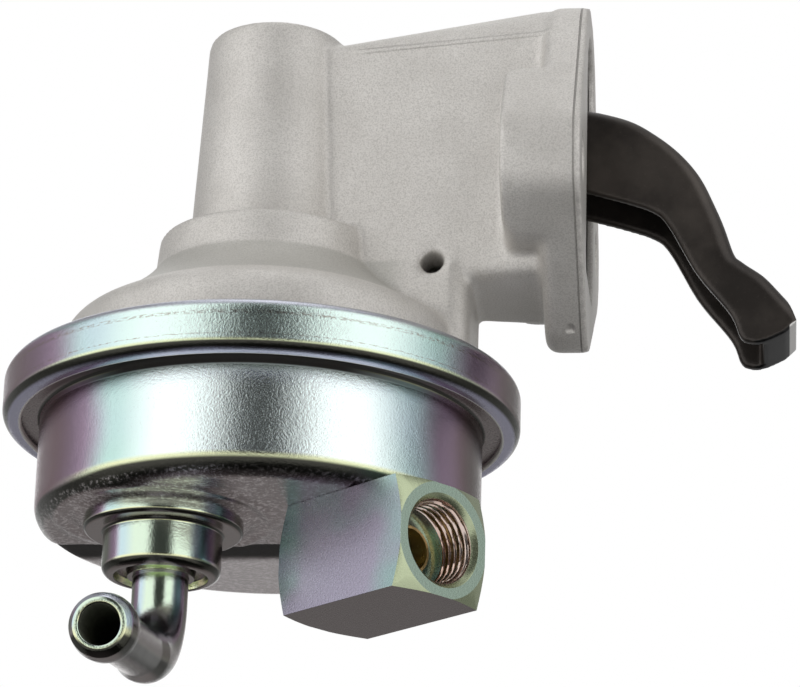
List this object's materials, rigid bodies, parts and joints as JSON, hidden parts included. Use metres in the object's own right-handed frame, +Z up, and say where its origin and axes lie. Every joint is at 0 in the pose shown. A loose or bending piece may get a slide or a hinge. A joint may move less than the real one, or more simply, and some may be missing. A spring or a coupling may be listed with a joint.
{
  "type": "mechanical fuel pump",
  "caption": "Lever-driven diaphragm fuel pump with a cast housing, bolted flange, crimped steel can, angled hose inlet and threaded outlet block.",
  "frame": {"origin": "on the mounting face, midway between the two bolt holes", "axes": "+X out of the mounting face towards the engine, +Z up along the pump's axis towards the spring tower, +Y to the far side"},
  "size_m": [0.1555, 0.1133, 0.1509],
  "materials": {
    "cast_alloy": "sand-cast and blasted, matte fine grain",
    "zinc_steel": "zinc plated with a clear iridescent passivate",
    "zinc_fitting": "machined steel, zinc plated, yellow-green and lavender tints",
    "seat_brass": "turned brass",
    "valve_alloy": "die-cast, plain",
    "plain_steel": "bright steel",
    "spring_steel": "oiled spring wire",
    "black_rubber": "fabric-backed black rubber",
    "black_steel": "black oxide on pressed steel, oiled, slightly brown"
  },
  "bodies": {
    "pump": {"upper_casting": "cast_alloy", "crimp_ring": "zinc_steel", "lower_shell": "zinc_steel", "inlet_boss": "zinc_fitting", "inlet_elbow": "zinc_fitting", "outlet_block": "zinc_fitting", "outlet_flare_seat": "seat_brass", "valve_body": "valve_alloy", "inlet_valve_cage": "plain_steel", "inlet_valve_spring": "spring_steel", "outlet_valve_cage": "plain_steel", "outlet_valve_spring": "spring_steel", "diaphragm": "black_rubber", "diaphragm_spring": "spring_steel", "oil_seal": "black_rubber", "oil_seal_retainer": "plain_steel", "pivot_pin": "plain_steel", "pin_plug": "plain_steel", "rocker_return_spring": "spring_steel"},
    "rocker": {"rocker_arm": "black_steel"},
    "link": {"diaphragm_link": "black_steel"},
    "rod": {"pull_rod": "plain_steel", "rivet_washer": "plain_steel", "upper_diaphragm_plate": "plain_steel", "lower_diaphragm_plate": "plain_steel"},
    "inlet_valve": {"inlet_valve_disc": "black_rubber"},
    "outlet_valve": {"outlet_valve_disc": "black_rubber"}
  },
  "joints": [
    {"name": "rocker_pivot", "type": "hinge", "parent": "pump", "child": "rocker", "pos_m": [-0.008, 0, 0.011], "axis": [0, 1, 0], "range_deg": [0, 8], "stiffness_Nm_per_rad": 4, "springref_deg": -34.38, "deforming": ["rocker_return_spring"]},
    {"name": "link_pivot", "type": "hinge", "parent": "pump", "child": "link", "pos_m": [-0.008, 0, 0.011], "axis": [0, 1, 0], "range_deg": [0, 8.1]},
    {"name": "rod_lift", "type": "slide", "parent": "pump", "child": "rod", "axis": [0, 0, 1], "range_m": [0, 0.0079], "deforming": ["diaphragm_spring", "diaphragm"]},
    {"name": "inlet_valve_lift", "type": "slide", "parent": "pump", "child": "inlet_valve", "axis": [0, 0, 1], "range_m": [0, 0.0012], "stiffness_N_per_m": 60, "springref_m": -0.002, "deforming": ["inlet_valve_spring"]},
    {"name": "outlet_valve_lift", "type": "slide", "parent": "pump", "child": "outlet_valve", "axis": [0, 0, -1], "range_m": [0, 0.0012], "stiffness_N_per_m": 60, "springref_m": -0.002, "deforming": ["outlet_valve_spring"]}
  ],
  "couplings": [
    {"joint": "link_pivot", "follows": "rocker_pivot", "ratio": 1},
    {"joint": "rod_lift", "follows": "rocker_pivot", "m_per_rad": 0.056}
  ]
}
